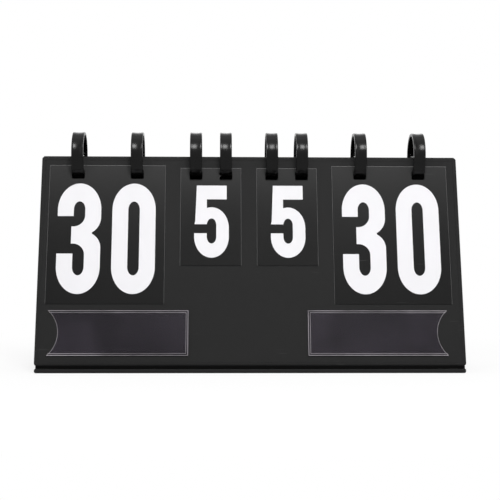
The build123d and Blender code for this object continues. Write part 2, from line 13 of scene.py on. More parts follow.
import bpy
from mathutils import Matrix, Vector


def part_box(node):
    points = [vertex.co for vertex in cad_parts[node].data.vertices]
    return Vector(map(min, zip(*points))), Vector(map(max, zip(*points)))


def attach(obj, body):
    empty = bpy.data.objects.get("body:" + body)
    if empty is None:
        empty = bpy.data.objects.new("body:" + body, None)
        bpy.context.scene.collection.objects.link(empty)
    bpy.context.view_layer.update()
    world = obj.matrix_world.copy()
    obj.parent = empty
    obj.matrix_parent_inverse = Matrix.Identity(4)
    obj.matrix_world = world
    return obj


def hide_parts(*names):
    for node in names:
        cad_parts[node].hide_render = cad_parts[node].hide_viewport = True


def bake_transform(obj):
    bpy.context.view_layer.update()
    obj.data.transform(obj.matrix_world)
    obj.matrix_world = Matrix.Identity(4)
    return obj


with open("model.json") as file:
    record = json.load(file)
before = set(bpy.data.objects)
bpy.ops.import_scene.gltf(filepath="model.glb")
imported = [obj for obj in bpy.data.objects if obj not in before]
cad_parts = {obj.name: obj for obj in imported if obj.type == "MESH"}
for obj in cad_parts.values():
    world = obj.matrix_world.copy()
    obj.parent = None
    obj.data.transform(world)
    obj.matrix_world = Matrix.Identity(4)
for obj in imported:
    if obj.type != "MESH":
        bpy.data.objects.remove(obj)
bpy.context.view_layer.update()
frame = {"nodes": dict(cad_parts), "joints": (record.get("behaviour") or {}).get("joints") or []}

log = logging.getLogger("scoreboard")
MM = 0.001
LEAN = math.radians(15.5)
STACKS = ("left_score", "left_sets", "right_sets", "right_score")
BOX_FACES = ((0, 1, 3, 2), (4, 6, 7, 5), (0, 4, 5, 1), (2, 3, 7, 6), (0, 2, 6, 4), (1, 5, 7, 3))
# Sockets of the Mix node when it mixes colours: its sockets for values and vectors share their labels.
MIX_AMOUNT, MIX_FIRST_COLOUR, MIX_SECOND_COLOUR, MIX_COLOUR = 0, 6, 7, 2
Material = bpy.types.Material
Node = bpy.types.Node
Socket = bpy.types.NodeSocket


# ---- node helpers -------------------------------------------------------------------------------
class Tree:
    """A thin wrapper that adds nodes to a shader tree and links them."""

    def __init__(self, tree: bpy.types.NodeTree) -> None:
        """Keep the tree that nodes are added to.

        Args:
            tree: The tree of a material, a world or a group.
        """
        self.tree = tree

    def add(self, kind: str, **values: object) -> Node:
        """Add a node.

        Args:
            kind: Blender's name of the node type.
            values: Settings of the node by name, or its inputs by name with _ for a space.

        Returns:
            The new node.
        """
        node = self.tree.nodes.new(kind)
        for name, value in values.items():
            if hasattr(node, name) and name not in node.inputs:
                setattr(node, name, value)
            else:
                self.feed(node.inputs[name.replace("_", " ")], value)
        return node

    def feed(self, socket: Socket, value: object) -> None:
        """Link a socket to the input, or set the input's own value.

        Args:
            socket: The input to feed.
            value: A socket to link, or a plain value.
        """
        if isinstance(value, bpy.types.NodeSocket):
            self.tree.links.new(value, socket)
        else:
            socket.default_value = value

    def math(self, operation: str, first: object, second: object = 0.0, clamp: bool = False) -> Socket:
        """Combine two values.

        Args:
            operation: Blender's name of the operation.
            first: Left value or socket.
            second: Right value or socket.
            clamp: Whether the result is kept from 0 to 1.

        Returns:
            The result's socket.
        """
        node = self.tree.nodes.new("ShaderNodeMath")
        node.operation = operation
        node.use_clamp = clamp
        self.feed(node.inputs[0], first)
        self.feed(node.inputs[1], second)
        return node.outputs[0]

    def span(self, value: object, low: float, high: float, to_low: float = 0.0,
             to_high: float = 1.0) -> Socket:
        """Map a value from one range to another, kept inside it.

        Args:
            value: The value or socket to map.
            low: Start of the range that it comes from.
            high: End of that range.
            to_low: What low becomes.
            to_high: What high becomes.

        Returns:
            The result's socket.
        """
        node = self.tree.nodes.new("ShaderNodeMapRange")
        self.feed(node.inputs["Value"], value)
        node.inputs["From Min"].default_value = low
        node.inputs["From Max"].default_value = high
        node.inputs["To Min"].default_value = to_low
        node.inputs["To Max"].default_value = to_high
        return node.outputs["Result"]

    def mix(self, amount: object, first: object, second: object) -> Socket:
        """Mix two colours.

        Args:
            amount: Share of the second colour.
            first: Colour at 0.
            second: Colour at 1.

        Returns:
            The result's socket.
        """
        node = self.tree.nodes.new("ShaderNodeMix")
        node.data_type = "RGBA"
        self.feed(node.inputs[MIX_AMOUNT], amount)
        self.feed(node.inputs[MIX_FIRST_COLOUR], first)
        self.feed(node.inputs[MIX_SECOND_COLOUR], second)
        return node.outputs[MIX_COLOUR]


def new_group(name: str, inputs: dict[str, float],
              outputs: dict[str, str]) -> tuple[bpy.types.NodeTree, Tree, Node, Node]:
    """Make a shader node group with named sockets.

    Args:
        name: The group's name.
        inputs: Default value of each float input, by name.
        outputs: Socket type of each output, by name.

    Returns:
        The group, its wrapper, its input node and its output node.
    """
    group = bpy.data.node_groups.new(name, "ShaderNodeTree")
    for label, value in inputs.items():
        socket = group.interface.new_socket(label, in_out="INPUT", socket_type="NodeSocketFloat")
        socket.default_value = value
    for label, kind in outputs.items():
        group.interface.new_socket(label, in_out="OUTPUT", socket_type=kind)
    return group, Tree(group), group.nodes.new("NodeGroupInput"), group.nodes.new("NodeGroupOutput")


def build_grain_group() -> bpy.types.NodeTree:
    """Build the pebbled grain of embossed vinyl.

    Returns:
        A group with inputs Scale and Fineness and outputs Height and Valley.
    """
    group, tree, source, sink = new_group("pebbled_grain", {"Scale": 1400.0, "Fineness": 2.4},
                                          {"Height": "NodeSocketFloat", "Valley": "NodeSocketFloat"})
    place = tree.add("ShaderNodeTexCoord").outputs["Object"]
    wander = tree.add("ShaderNodeTexNoise", Vector=place, Scale=260.0, Detail=2.0)
    bent = tree.tree.nodes.new("ShaderNodeVectorMath")
    bent.operation = "MULTIPLY_ADD"
    tree.feed(bent.inputs[0], wander.outputs["Color"])
    bent.inputs[1].default_value = (0.0012, 0.0012, 0.0012)
    tree.feed(bent.inputs[2], place)
    cells = tree.add("ShaderNodeTexVoronoi", feature="DISTANCE_TO_EDGE", Vector=bent.outputs[0],
                     Scale=source.outputs["Scale"])
    finer = tree.math("MULTIPLY", source.outputs["Scale"], source.outputs["Fineness"])
    fuzz = tree.add("ShaderNodeTexNoise", Vector=place, Scale=finer, Detail=3.0, Roughness=0.6)
    pebble = tree.span(cells.outputs["Distance"], 0.0, 0.22)
    height = tree.math("ADD", tree.math("MULTIPLY", pebble, 0.7),
                       tree.math("MULTIPLY", fuzz.outputs["Fac"], 0.3))
    tree.feed(sink.inputs["Height"], height)
    tree.feed(sink.inputs["Valley"], tree.span(cells.outputs["Distance"], 0.0, 0.10, 1.0, 0.0))
    return group


def build_handling_group() -> bpy.types.NodeTree:
    """Build the marks of handling: cloudy finger haze, thin scuffs and settled dust.

    Returns:
        A group with inputs Haze, Scuff and Dust and outputs of the same names as masks.
    """
    names = ("Haze", "Scuff", "Dust")
    group, tree, source, sink = new_group("handling_marks", {name: 1.0 for name in names},
                                          {name: "NodeSocketFloat" for name in names})
    place = tree.add("ShaderNodeTexCoord").outputs["Object"]
    cloud = tree.add("ShaderNodeTexNoise", Vector=place, Scale=16.0, Detail=4.0, Roughness=0.55)
    haze = tree.span(cloud.outputs["Fac"], 0.42, 0.72)
    stretch = tree.add("ShaderNodeMapping", Vector=place)
    stretch.inputs["Rotation"].default_value = (0.3, 0.5, 0.7)
    stretch.inputs["Scale"].default_value = (30.0, 420.0, 420.0)
    streak = tree.add("ShaderNodeTexNoise", Vector=stretch.outputs["Vector"], Scale=1.0, Detail=2.0)
    patch = tree.add("ShaderNodeTexNoise", Vector=place, Scale=34.0, Detail=2.0)
    scuff = tree.math("MULTIPLY", tree.span(streak.outputs["Fac"], 0.68, 0.74),
                      tree.span(patch.outputs["Fac"], 0.5, 0.65))
    speck = tree.add("ShaderNodeTexVoronoi", Vector=place, Scale=420.0)
    dust = tree.math("MULTIPLY", tree.span(speck.outputs["Distance"], 0.10, 0.05),
                     tree.span(cloud.outputs["Fac"], 0.5, 0.62))
    for name, mask in zip(names, (haze, scuff, dust)):
        tree.feed(sink.inputs[name], tree.math("MULTIPLY", mask, source.outputs[name], clamp=True))
    return group


def build_moulding_group() -> bpy.types.NodeTree:
    """Build the faint flow and sink ripple of moulded or rolled plastic.

    Returns:
        A group with inputs Scale and Depth and outputs Height and Tone.
    """
    group, tree, source, sink = new_group("moulded_ripple", {"Scale": 60.0, "Depth": 1.0},
                                          {"Height": "NodeSocketFloat", "Tone": "NodeSocketFloat"})
    place = tree.add("ShaderNodeTexCoord").outputs["Object"]
    broad = tree.add("ShaderNodeTexNoise", Vector=place, Scale=source.outputs["Scale"], Detail=2.0)
    fine_scale = tree.math("MULTIPLY", source.outputs["Scale"], 22.0)
    fine = tree.add("ShaderNodeTexNoise", Vector=place, Scale=fine_scale, Detail=3.0)
    height = tree.math("ADD", broad.outputs["Fac"], tree.math("MULTIPLY", fine.outputs["Fac"], 0.06))
    tree.feed(sink.inputs["Height"], tree.math("MULTIPLY", height, source.outputs["Depth"]))
    tree.feed(sink.inputs["Tone"], tree.span(broad.outputs["Fac"], 0.35, 0.65))
    return group


class Effects:
    """The node groups that the finishes share, each built once."""

    def __init__(self) -> None:
        """Build the three groups."""
        self.grain = build_grain_group()
        self.handling = build_handling_group()
        self.moulding = build_moulding_group()

    def place(self, tree: Tree, group: bpy.types.NodeTree, **values: float) -> Node:
        """Put a group in a material.

        Args:
            tree: The material's tree.
            group: The group to place.
            values: Its inputs by name.

        Returns:
            The group node.
        """
        node = tree.tree.nodes.new("ShaderNodeGroup")
        node.node_tree = group
        for name, value in values.items():
            node.inputs[name].default_value = value
        return node


def grey(level: float, warm: float = 0.0) -> tuple[float, float, float, float]:
    """Give a grey as a colour with alpha.

    Args:
        level: How light it is.
        warm: How far red is raised and blue lowered, as a share.

    Returns:
        Red, green, blue and alpha.
    """
    return (level * (1 + warm), level, level * (1 - warm), 1.0)


# How the marks of handling change a surface: their colours, how far they cover it, and how much
# rougher they make it.
SCUFF_COLOUR, SCUFF_SHARE, SCUFF_ROUGH = grey(0.34), 0.22, 0.15
DUST_COLOUR, DUST_SHARE = grey(0.55, 0.04), 0.35
HAZE_ROUGH = 0.07


@dataclass(frozen=True)
class Finish:
    """What every finish has.

    Attributes:
        name: The material's name.
        base: Its base grey.
        rough: Its roughness.
        haze: How much finger haze it shows.
        scuff: How many scuffs it shows.
        dust: How much dust it shows.
        gloss: The level of its specular reflection.
    """

    name: str
    base: float
    rough: float = 0.5
    haze: float = 0.5
    scuff: float = 0.5
    dust: float = 0.3
    gloss: float = 0.2

    def start(self) -> tuple[Material, Tree, Node]:
        """Make the material with its wrapper and shader.

        Returns:
            The material, its wrapper and its Principled shader.
        """
        material = bpy.data.materials.new(self.name)
        material.use_nodes = True
        tree = Tree(material.node_tree)
        shader = material.node_tree.nodes["Principled BSDF"]
        shader.inputs["Specular IOR Level"].default_value = self.gloss
        return material, tree, shader

    def marks(self, tree: Tree, effects: Effects, shader: Node, colour: object, rough: object) -> None:
        """Lay haze, scuffs and dust over a colour and a roughness, and feed the shader.

        Args:
            tree: The material's tree.
            effects: The shared groups.
            shader: The Principled shader.
            colour: Colour under the marks.
            rough: Roughness under the marks.
        """
        use = effects.place(tree, effects.handling, Haze=self.haze, Scuff=self.scuff, Dust=self.dust)
        pale = tree.mix(tree.math("MULTIPLY", use.outputs["Scuff"], SCUFF_SHARE), colour, SCUFF_COLOUR)
        dusty = tree.mix(tree.math("MULTIPLY", use.outputs["Dust"], DUST_SHARE), pale, DUST_COLOUR)
        tree.feed(shader.inputs["Base Color"], dusty)
        worn = tree.math("ADD", rough, tree.math("MULTIPLY", use.outputs["Haze"], HAZE_ROUGH))
        scratched = tree.math("MULTIPLY", use.outputs["Scuff"], SCUFF_ROUGH)
        tree.feed(shader.inputs["Roughness"], tree.math("ADD", worn, scratched, clamp=True))

    def rougher(self, tree: Tree, mask: Socket, amount: float) -> Socket:
        """Raise the finish's roughness where a mask is on.

        Args:
            tree: The material's tree.
            mask: Where it is raised.
            amount: By how much.

        Returns:
            The roughness.
        """
        return tree.math("ADD", self.rough, tree.math("MULTIPLY", mask, amount))

    def bump(self, tree: Tree, shader: Node, height: Socket, distance: float) -> None:
        """Turn a height into the shader's normal.

        Args:
            tree: The material's tree.
            shader: The Principled shader.
            height: Socket with the height.
            distance: Depth of the relief in metres.
        """
        node = tree.add("ShaderNodeBump", Height=height)
        node.inputs["Distance"].default_value = distance
        node.inputs["Strength"].default_value = 1.0
        tree.feed(shader.inputs["Normal"], node.outputs["Normal"])


@dataclass(frozen=True)
class VinylFinish(Finish):
    """Embossed black vinyl with pebbled grain.

    Attributes:
        grain: Pebbles along a metre.
        depth: Height of the pebbles.
        sheen: The level of its soft sheen.
    """

    grain: float = 1500.0
    depth: float = 0.00005
    sheen: float = 0.05

    def build(self, effects: Effects) -> Material:
        """Build the material.

        Args:
            effects: The shared groups.

        Returns:
            The material.
        """
        material, tree, shader = self.start()
        grain = effects.place(tree, effects.grain, Scale=self.grain, Fineness=2.4)
        flow = effects.place(tree, effects.moulding, Scale=9.0, Depth=1.0)
        tone = tree.mix(flow.outputs["Tone"], grey(self.base * 0.92), grey(self.base * 1.10))
        deep = tree.mix(tree.math("MULTIPLY", grain.outputs["Valley"], 0.45), tone, grey(self.base * 0.45))
        self.marks(tree, effects, shader, deep, self.rougher(tree, grain.outputs["Valley"], 0.12))
        self.bump(tree, shader, grain.outputs["Height"], self.depth)
        shader.inputs["Sheen Weight"].default_value = self.sheen
        shader.inputs["Sheen Roughness"].default_value = 0.6
        return material


@dataclass(frozen=True)
class SheetFinish(Finish):
    """Fine matte card plastic, its colour painted lighter towards its upper edge as a painted sheen.

    Attributes:
        depth: Height of the grain.
        painted_top_sheen: How much lighter the upper edge is painted than the rest, a painted sheen.
    """

    depth: float = 0.00002
    painted_top_sheen: float = 1.0

    def build(self, effects: Effects) -> Material:
        """Build the material.

        Args:
            effects: The shared groups.

        Returns:
            The material.
        """
        material, tree, shader = self.start()
        grain = effects.place(tree, effects.grain, Scale=3600.0, Fineness=1.8)
        flow = effects.place(tree, effects.moulding, Scale=14.0, Depth=1.0)
        tone = tree.mix(flow.outputs["Tone"], grey(self.base * 0.93), grey(self.base * 1.08))
        # Painted sheen: the colour is lightened towards the card's top, standing in for the lamps' reflection
        # there.
        if self.painted_top_sheen > 1.0:
            place = tree.add("ShaderNodeTexCoord").outputs["Generated"]
            painted_sheen_mask = tree.math("POWER", tree.add("ShaderNodeSeparateXYZ", Vector=place).outputs["Z"], 3.0)
            tone = tree.mix(painted_sheen_mask, tone, grey(self.base * self.painted_top_sheen))
        speck = tree.mix(tree.math("MULTIPLY", grain.outputs["Valley"], 0.18), tone, grey(self.base * 0.7))
        self.marks(tree, effects, shader, speck, self.rougher(tree, flow.outputs["Tone"], 0.05))
        self.bump(tree, shader, grain.outputs["Height"], self.depth)
        return material


@dataclass(frozen=True)
class PrintFinish(Finish):
    """White screen print, with the mesh of the screen and small pinholes."""

    def build(self, effects: Effects) -> Material:
        """Build the material.

        Args:
            effects: The shared groups.

        Returns:
            The material.
        """
        material, tree, shader = self.start()
        place = tree.add("ShaderNodeTexCoord").outputs["Object"]
        flow = effects.place(tree, effects.moulding, Scale=30.0, Depth=1.0)
        hole = tree.add("ShaderNodeTexVoronoi", Vector=place, Scale=190.0)
        spot = tree.add("ShaderNodeTexNoise", Vector=place, Scale=24.0, Detail=2.0)
        pin = tree.math("MULTIPLY", tree.span(hole.outputs["Distance"], 0.035, 0.02),
                        tree.span(spot.outputs["Fac"], 0.56, 0.62))
        white = tree.mix(flow.outputs["Tone"], (self.base * 0.985, self.base * 0.975, self.base, 1.0),
                         (self.base, self.base * 0.99, self.base * 1.02, 1.0))
        bare = tree.mix(tree.math("MULTIPLY", pin, 0.7), white, grey(0.08))
        self.marks(tree, effects, shader, bare, self.rough)
        weave = tree.add("ShaderNodeTexNoise", Vector=place, Scale=5200.0, Detail=2.0)
        self.bump(tree, shader, weave.outputs["Fac"], 0.00001)
        return material


@dataclass(frozen=True)
class MouldedFinish(Finish):
    """Polished black moulded plastic with faint flow marks."""

    def build(self, effects: Effects) -> Material:
        """Build the material.

        Args:
            effects: The shared groups.

        Returns:
            The material.
        """
        material, tree, shader = self.start()
        flow = effects.place(tree, effects.moulding, Scale=140.0, Depth=1.0)
        tone = tree.mix(flow.outputs["Tone"], grey(self.base * 0.9), grey(self.base * 1.15))
        self.marks(tree, effects, shader, tone, self.rougher(tree, flow.outputs["Tone"], 0.04))
        self.bump(tree, shader, flow.outputs["Height"], 0.00001)
        return material


@dataclass(frozen=True)
class ClearFinish(Finish):
    """Soft clear sheet, a little hazy and wavy.

    Attributes:
        alpha: How much it covers what lies behind it.
        wave: Height of its waves.
        tint: Factors on red, green and blue.
    """

    alpha: float = 0.22
    wave: float = 0.00012
    tint: tuple[float, float, float] = (1.0, 1.0, 1.0)

    def build(self, effects: Effects) -> Material:
        """Build the material.

        Args:
            effects: The shared groups.

        Returns:
            The material.
        """
        material, tree, shader = self.start()
        flow = effects.place(tree, effects.moulding, Scale=26.0, Depth=1.0)
        dim = tuple(self.base * 0.85 * part for part in self.tint) + (1.0,)
        lit = tuple(self.base * 1.2 * part for part in self.tint) + (1.0,)
        colour = tree.mix(flow.outputs["Tone"], dim, lit)
        self.marks(tree, effects, shader, colour, self.rougher(tree, flow.outputs["Tone"], 0.05))
        self.bump(tree, shader, flow.outputs["Height"], self.wave)
        cloudy = tree.span(flow.outputs["Tone"], 0.0, 1.0, self.alpha * 0.85, self.alpha * 1.15)
        tree.feed(shader.inputs["Alpha"], cloudy)
        return material


@dataclass(frozen=True)
class BoardFinish(Finish):
    """Raw grey board with its layers and flecks of fibre."""

    def build(self, effects: Effects) -> Material:
        """Build the material.

        Args:
            effects: The shared groups.

        Returns:
            The material.
        """
        material, tree, shader = self.start()
        place = tree.add("ShaderNodeTexCoord").outputs["Object"]
        fibre = tree.add("ShaderNodeTexNoise", Vector=place, Scale=900.0, Detail=4.0, Roughness=0.7)
        tone = tree.mix(tree.span(fibre.outputs["Fac"], 0.35, 0.7), grey(self.base * 0.75, 0.05),
                        grey(self.base * 1.2, 0.04))
        self.marks(tree, effects, shader, tone, self.rough)
        self.bump(tree, shader, fibre.outputs["Fac"], 0.0001)
        return material


class Pile(Enum):
    """The two faces of a touch fastener."""

    HOOKS = "hooks"
    LOOPS = "loops"


@dataclass(frozen=True)
class TapeFinish(Finish):
    """Hook tape, or napped loop tape.

    Attributes:
        pile: Which of the two it is.
    """

    pile: Pile = Pile.LOOPS

    def build(self, effects: Effects) -> Material:
        """Build the material.

        Args:
            effects: The shared groups.

        Returns:
            The material.
        """
        material, tree, shader = self.start()
        place = tree.add("ShaderNodeTexCoord").outputs["Object"]
        if self.pile is Pile.HOOKS:
            knots = tree.add("ShaderNodeTexVoronoi", Vector=place, Scale=900.0).outputs["Distance"]
        else:
            nap = tree.add("ShaderNodeTexNoise", Vector=place, Scale=2400.0, Detail=5.0, Roughness=0.75)
            knots = nap.outputs["Fac"]
        tone = tree.mix(tree.span(knots, 0.2, 0.7), grey(self.base * 0.6), grey(self.base * 1.8))
        self.marks(tree, effects, shader, tone, self.rough)
        self.bump(tree, shader, knots, 0.0003)
        shader.inputs["Sheen Weight"].default_value = 0.4
        return material


class Look:
    """Every finish of the scoreboard, built once and handed out by material slot."""

    def __init__(self) -> None:
        """Build the shared groups and the materials."""
        effects = Effects()
        finishes = (
            VinylFinish("cover_vinyl", base=0.0088, rough=0.5, haze=0.6, scuff=0.2, dust=0.08, gloss=0.09),
            # The hinge vinyl is darkened far below the cover vinyl as painted shade for the dark groove at the
            # front leaf's foot; the folds and the slot fillers share it.
            VinylFinish("hinge_vinyl", base=0.002, rough=0.5, scuff=0.15, dust=0.05, gloss=0.03,
                        grain=2200.0, depth=0.00003, sheen=0.0),
            VinylFinish("flap_vinyl", base=0.012, rough=0.45, haze=0.7, scuff=0.3, dust=0.12, gloss=0.14),
            BoardFinish("greyboard", base=0.02, rough=0.9, scuff=0.0, dust=0.1, gloss=0.05),
            # The card plastic is painted up to 4.5 times lighter at its top edge: a painted sheen.
            SheetFinish("card_plastic", base=0.0055, rough=0.4, haze=0.5, scuff=0.2, dust=0.06, gloss=0.07,
                        painted_top_sheen=4.5),
            PrintFinish("white_print", base=0.68, rough=0.55, haze=0.3, scuff=0.0, dust=0.0, gloss=0.2),
            MouldedFinish("ring_plastic", base=0.0015, rough=0.2, haze=0.05, scuff=0.03, dust=0.01,
                          gloss=0.16),
            ClearFinish("clear_vinyl", base=0.018, rough=0.3, haze=0.6, scuff=0.25, dust=0.08, gloss=0.17,
                        alpha=0.55, tint=(1.0, 0.82, 1.18)),
            # The pale edge finish is a painted highlight: it stands in for the light that the lamps catch on
            # the cards' cut edges.
            SheetFinish("painted_edge_highlight", base=0.2, rough=0.5, haze=0.3, scuff=0.2, dust=0.1, gloss=0.3),
            ClearFinish("weld_bead", base=0.26, rough=0.35, haze=0.3, scuff=0.2, dust=0.1, gloss=0.4,
                        alpha=0.92, tint=(1.0, 0.94, 1.0)),
            TapeFinish("hook_tape", base=0.010, rough=0.7, gloss=0.1, pile=Pile.HOOKS),
            TapeFinish("loop_tape", base=0.014, rough=0.85, gloss=0.05, pile=Pile.LOOPS),
        )
        self.materials = {finish.name: finish.build(effects) for finish in finishes}

    def dress(self, thing: bpy.types.Object, name: str) -> None:
        """Give an object one finish in place of what it had.

        Args:
            thing: The object.
            name: The finish's name.
        """
        thing.data.materials.clear()
        thing.data.materials.append(self.materials[name])


# ---- shape helpers ------------------------------------------------------------------------------
@dataclass(frozen=True)
class Slope:
    """One leaf of the easel: turns across, down and out into a place in the frame."""

    lean: float
    hinge_z: float
    facing: int

    def at(self, across: float, down: float, out: float) -> Vector:
        """Give the place of a point.

        Args:
            across: Along the board.
            down: Down the slope from the top hinge line.
            out: Outward from the plane through the hinge line.

        Returns:
            The place in the frame.
        """
        sine, cosine = math.sin(self.lean), math.cos(self.lean)
        return Vector((across, self.facing * (out * cosine + down * sine),
                       self.hinge_z + out * sine - down * cosine))


def make_piece(name: str, vertices: Iterable[Vector], faces: Iterable[tuple[int, ...]],
               smooth: bool = True) -> bpy.types.Object:
    """Make a mesh object.

    Args:
        name: The piece's name.
        vertices: Its points.
        faces: Its faces, as indices of points.
        smooth: Whether faces are shaded smooth.

    Returns:
        The new object.
    """
    mesh = bpy.data.meshes.new(name)
    mesh.from_pydata([tuple(v) for v in vertices], [], list(faces))
    if smooth:
        mesh.shade_smooth()
    piece = bpy.data.objects.new(name, mesh)
    bpy.context.scene.collection.objects.link(piece)
    return piece


def make_bead(name: str, path: list[Vector], radius: float, closed: bool = False) -> bpy.types.Object:
    """Make a round raised bead along a path, as a mesh.

    Args:
        name: The piece's name.
        path: Points that the bead's centre runs through.
        radius: The bead's radius.
        closed: Whether the path runs round to its start.

    Returns:
        The new object.
    """
    curve = bpy.data.curves.new(name, "CURVE")
    curve.dimensions = "3D"
    curve.bevel_depth = radius
    curve.bevel_resolution = 2
    curve.use_fill_caps = True
    spline = curve.splines.new("POLY")
    spline.points.add(len(path) - 1)
    for point, place in zip(spline.points, path):
        point.co = (*place, 1.0)
    spline.use_cyclic_u = closed
    source = bpy.data.objects.new(name, curve)
    bpy.context.scene.collection.objects.link(source)
    bpy.context.view_layer.update()
    mesh = bpy.data.meshes.new_from_object(source)
    mesh.shade_smooth()
    bpy.data.objects.remove(source)
    piece = bpy.data.objects.new(name, mesh)
    bpy.context.scene.collection.objects.link(piece)
    return piece


def make_strip(name: str, section: list[tuple[float, float]], half: float, thickness: float,
               steps: int = 40) -> bpy.types.Object:
    """Make a strip of sheet with one section all along the board.

    Args:
        name: The piece's name.
        section: Middle line of the sheet as y and z.
        half: Half the strip's length along the board.
        thickness: Thickness of the sheet.
        steps: How many spans it has along the board.

    Returns:
        The new object.
    """
    vertices, faces = [], []
    for step in range(steps + 1):
        x = -half + 2 * half * step / steps
        vertices += [Vector((x, y, z)) for y, z in section]
    row = len(section)
    for step in range(steps):
        for place in range(row - 1):
            a = step * row + place
            faces.append((a, a + 1, a + row + 1, a + row))
    piece = make_piece(name, vertices, faces)
    solid = piece.modifiers.new("thickness", "SOLIDIFY")
    solid.thickness = thickness
    solid.offset = 0.0
    bpy.context.view_layer.update()
    made = bpy.data.meshes.new_from_object(piece.evaluated_get(bpy.context.evaluated_depsgraph_get()))
    piece.modifiers.clear()
    piece.data = made
    made.name = name
    return piece


# ---- sub-assemblies -----------------------------------------------------------------------------
@dataclass
class Easel:
    """The covered boards with their folds, the closing flap and its tapes.

    Attributes:
        look: The finishes.
        slopes: The front leaf's slope and the back leaf's.
        fold_sheet: Thickness of the vinyl over a fold.
        fold_steps: Points in the section of a fold.
        face: A leaf's outer face, from the plane through the hinge line.
        drop: A leaf's top edge, below the hinge line.
        border: The sealed line, in from a leaf's edge.
        seam: Radius of the sealed line.
        seam_sunk: Share of that radius that is sunk in the face.
        filler_sides: Near and far side of the dark filler in a slot, from the side of its ring; the filler is
            painted shade.
        filler_drop: Its top and foot, down from the hinge line.
        filler_depth: Its back and front, out from the plane through the hinge line.
    """

    look: Look
    slopes: tuple[Slope, Slope]
    fold_sheet: float = 0.5 * MM
    fold_steps: int = 9
    face: float = 5.0 * MM
    drop: float = 1.4 * MM
    border: float = 3.4 * MM
    seam: float = 0.45 * MM
    seam_sunk: float = 0.35
    filler_sides: tuple[float, float] = (0.1 * MM, 0.54 * MM)
    filler_drop: tuple[float, float] = (17.5 * MM, 24.0 * MM)
    filler_depth: tuple[float, float] = (1.5 * MM, 3.5 * MM)

    def dress(self) -> None:
        """Give the boards, the flap and the tapes their finishes."""
        for name in ("front_cover", "back_cover", "base_cover"):
            self.look.dress(frame["nodes"][name], "cover_vinyl")
        for name in ("front_board", "back_board", "base_board"):
            self.look.dress(frame["nodes"][name], "greyboard")
        self.look.dress(frame["nodes"]["flap"], "flap_vinyl")
        for side in ("left", "middle", "right"):
            self.look.dress(frame["nodes"][f"hook_tape_{side}"], "hook_tape")
            self.look.dress(frame["nodes"][f"loop_tape_{side}"], "loop_tape")
        log.info("easel dressed")

    def fold(self, node: str, bodies: tuple[str, str], section: list[tuple[float, float]]) -> None:
        """Replace one hinge strip by a sheet laid along the given section.

        Args:
            node: The strip that it stands for.
            bodies: The two bodies that it joins.
            section: Middle line of the sheet as y and z.
        """
        low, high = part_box(node)
        piece = make_strip(f"{node}_sheet", section, (high[0] - low[0]) / 2, self.fold_sheet)
        # Painted shade: the fold and the strip it stands for wear the darkened hinge vinyl.
        self.look.dress(frame["nodes"][node], "hinge_vinyl")
        self.look.dress(piece, "hinge_vinyl")
        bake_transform(piece)
        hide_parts(node)
        log.info("%s bends between %s and %s", piece.name, *bodies)

    def build_borders(self) -> None:
        """Lay the heat-sealed border line round the outer face of each leaf."""
        for side, slope in (("front", self.slopes[0]), ("back", self.slopes[1])):
            low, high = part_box(f"{side}_cover")
            drop = slope.hinge_z + self.face * math.sin(slope.lean) - low[2]
            foot = drop / math.cos(slope.lean) - self.border
            top = self.drop + self.border
            half = (high[0] - low[0]) / 2 - self.border
            out = self.face - self.seam * self.seam_sunk
            outline = ((-half, top), (half, top), (half, foot), (-half, foot))
            corners = [slope.at(x, down, out) for x, down in outline]
            piece = make_bead(f"{side}_sealed_border", corners, self.seam, closed=True)
            self.look.dress(piece, "cover_vinyl")
            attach(piece, f"{side}_leaf")
            log.info("%s leaf sealed", side)

    def build_slot_shade(self) -> None:
        """Fill the side gaps of the front leaf's ring slots with dark blocks, painted shade where the slots
        would show light through.
        """
        slope = self.slopes[0]
        vertices: list[Vector] = []
        faces: list[tuple[int, ...]] = []
        for stack in STACKS:
            for side in ("left", "right"):
                low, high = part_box(f"{stack}_arch_{side}")
                for wall, sign in ((low[0], -1.0), (high[0], 1.0)):
                    first = len(vertices)
                    vertices += [slope.at(wall + sign * beside, down, out)
                                 for beside in self.filler_sides for down in self.filler_drop for out in self.filler_depth]
                    faces += [tuple(first + corner for corner in side_face) for side_face in BOX_FACES]
        piece = make_piece("slot_shade_fillers", vertices, faces, smooth=False)
        # Painted shade: the fillers wear the darkened hinge vinyl, so the slots read as dark holes.
        self.look.dress(piece, "hinge_vinyl")
        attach(piece, "front_leaf")
        log.info("slots lined")

    def build_folds(self) -> None:
        """Build the sheets over the three folds."""
        low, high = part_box("top_hinge")
        edge = self.fold_sheet / 2
        arch = []
        for step in range(self.fold_steps):
            turn = math.pi * step / (self.fold_steps - 1)
            y = -math.cos(turn) * (high[1] - edge)
            arch.append((y, low[2] + edge + math.sin(turn) * (high[2] - low[2] - 2 * edge)))
        self.fold("top_hinge", ("front_leaf", "back_leaf"), arch)
        for node, bodies in (("front_hinge", ("front_leaf", "base")), ("rear_hinge", ("flap", "base"))):
            low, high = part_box(node)
            y = (low[1] + high[1]) / 2
            wall = [(y, high[2] - (high[2] - low[2]) * step / (self.fold_steps - 1))
                    for step in range(self.fold_steps)]
            self.fold(node, bodies, wall)


